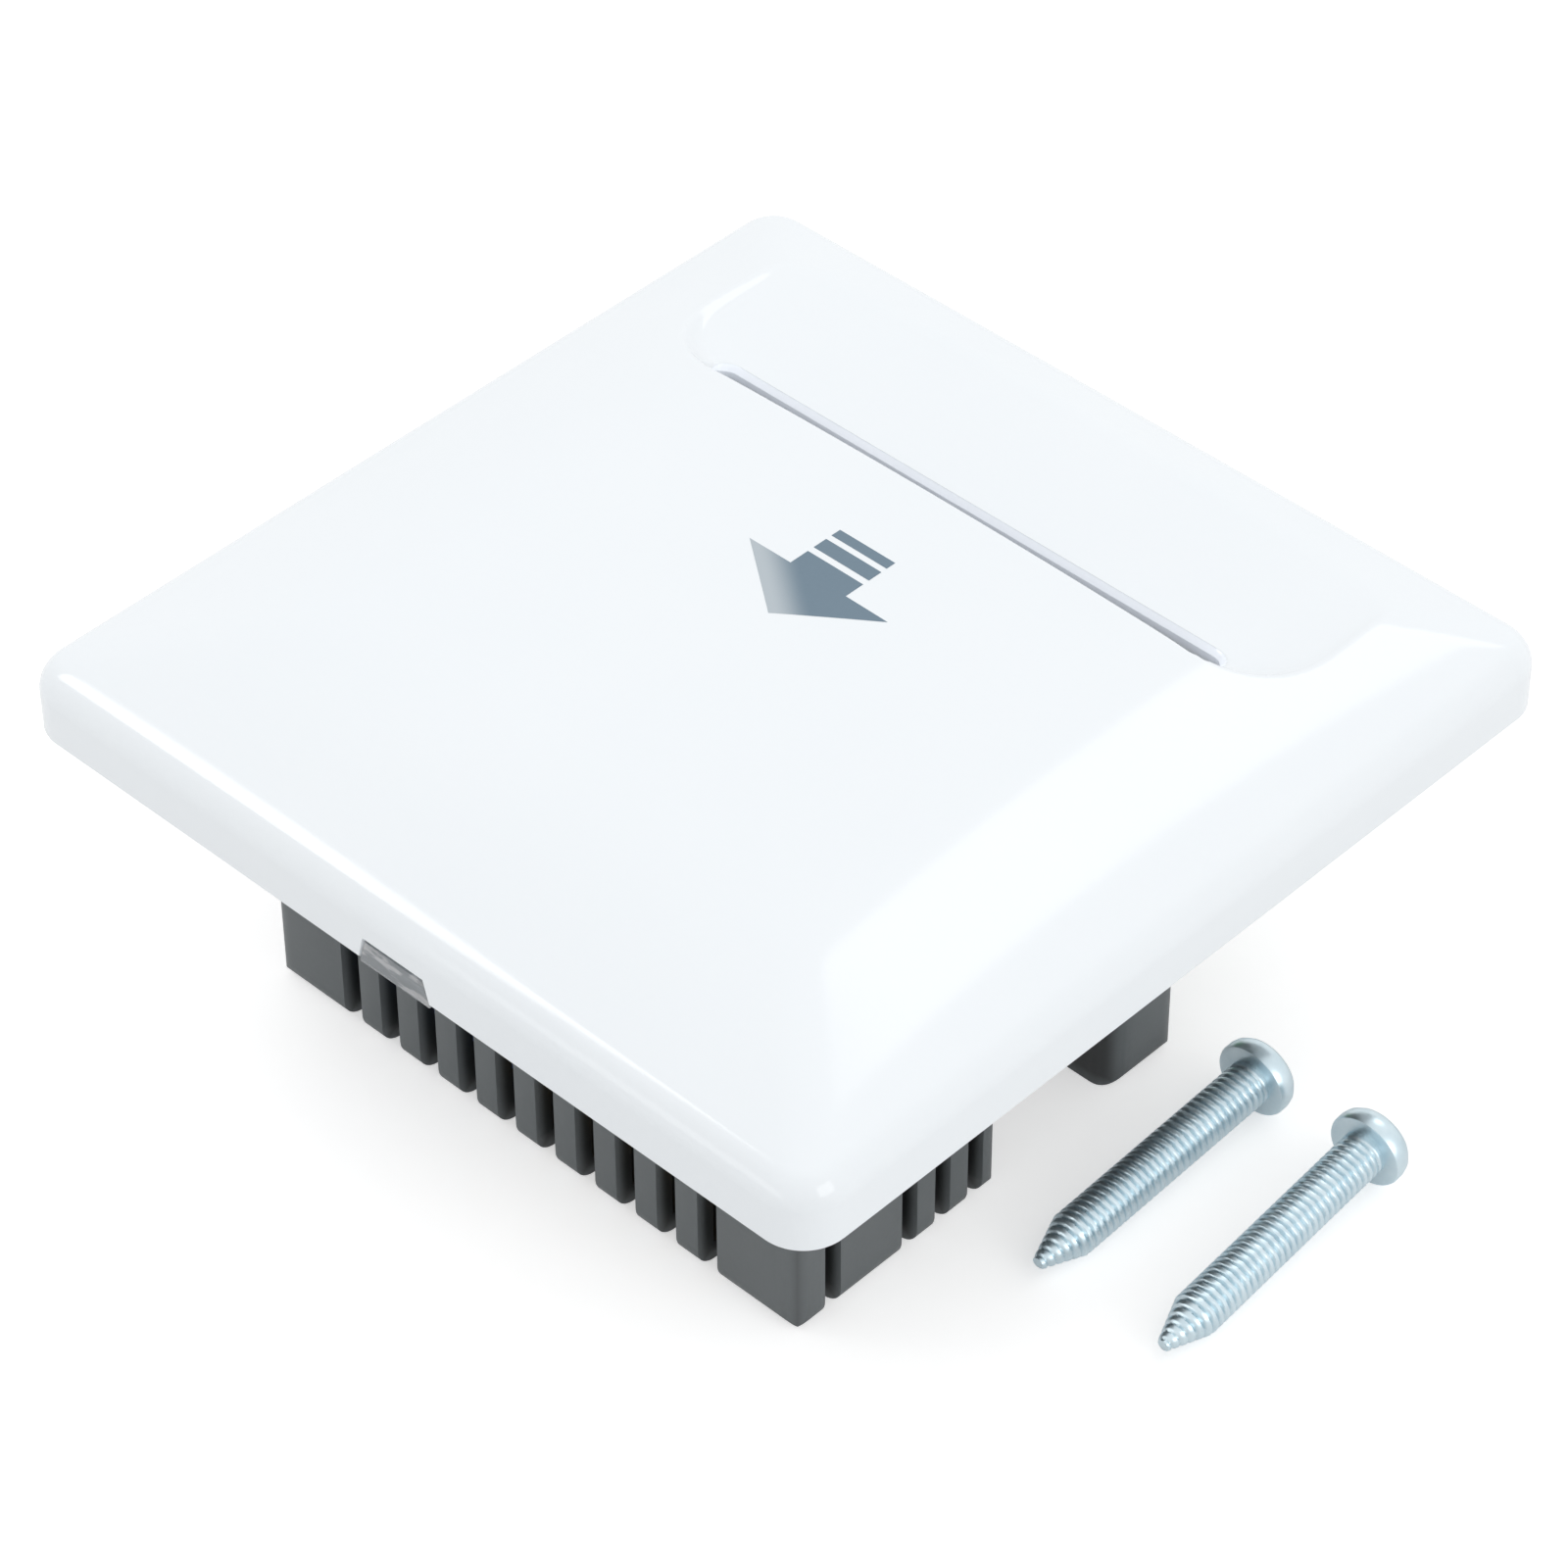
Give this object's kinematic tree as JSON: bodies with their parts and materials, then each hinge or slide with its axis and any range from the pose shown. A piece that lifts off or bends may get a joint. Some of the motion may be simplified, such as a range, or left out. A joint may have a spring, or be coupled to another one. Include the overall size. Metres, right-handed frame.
{
  "type": "hotel key card switch",
  "caption": "Square wall switch with a domed white cover, a key card slot over a spring tray, a lever-worked power board in a finned rear housing, and loose fixing screws.",
  "frame": {"origin": "centre of the plate on the wall plane, midway between the fixing slots", "axes": "+X along the card slot, +Y towards the slot, +Z out of the face"},
  "size_m": [0.0971, 0.086, 0.039],
  "materials": {
    "cover_white": "gloss",
    "frame_white": "satin",
    "window_clear": "clear gloss",
    "tray_grey": "satin",
    "spring_bronze": "rolled",
    "lever_grey": "satin",
    "zinc_steel": "bright zinc",
    "housing_grey": "satin",
    "board_green": "solder mask",
    "switch_black": "satin",
    "plunger_red": "satin",
    "relay_blue": "gloss",
    "film_yellow": "gloss",
    "can_sleeve": "gloss sleeve",
    "varistor_blue": "lacquer",
    "fuse_glass": "clear",
    "cap_nickel": "nickel",
    "chip_black": "moulded",
    "resistor_tan": "lacquer",
    "lamp_green": "clear tint",
    "terminal_green": "moulded",
    "clamp_brass": "plated"
  },
  "bodies": {
    "base": {"mounting_frame": "frame_white", "light_pipe": "window_clear", "card_tray": "tray_grey", "card_springs": "spring_bronze", "lever_pin": "zinc_steel", "tray_screws": "zinc_steel", "rear_housing": "housing_grey", "housing_screws": "zinc_steel", "circuit_board": "board_green", "board_screws": "zinc_steel", "switch_case": "switch_black", "relay": "relay_blue", "film_capacitor": "film_yellow", "smoothing_capacitor": "can_sleeve", "varistor": "varistor_blue", "fuse_tube": "fuse_glass", "fuse_caps": "cap_nickel", "delay_chip": "chip_black", "resistors": "resistor_tan", "indicator_lamp": "lamp_green", "terminal_block": "terminal_green", "terminal_clamps": "clamp_brass", "terminal_screws": "zinc_steel", "mounting_screws": "zinc_steel"},
    "cover": {"front_cover": "cover_white"},
    "lever": {"card_lever": "lever_grey"},
    "plunger": {"switch_plunger": "plunger_red"}
  },
  "joints": [
    {"name": "cover_pull", "type": "slide", "parent": "base", "child": "cover", "axis": [0, 0, 1], "range_m": [0, 0.014]},
    {"name": "lever_tilt", "type": "hinge", "parent": "base", "child": "lever", "pos_m": [0, -0.002, 0.0015], "axis": [1, 0, 0], "range_deg": [0, 7], "stiffness_Nm_per_rad": 0.02, "springref_deg": -5.73},
    {"name": "plunger_travel", "type": "slide", "parent": "base", "child": "plunger", "axis": [0, 0, -1], "range_m": [0, 0.0012]}
  ],
  "couplings": [
    {"joint": "plunger_travel", "follows": "lever_tilt", "m_per_rad": 0.0083}
  ]
}
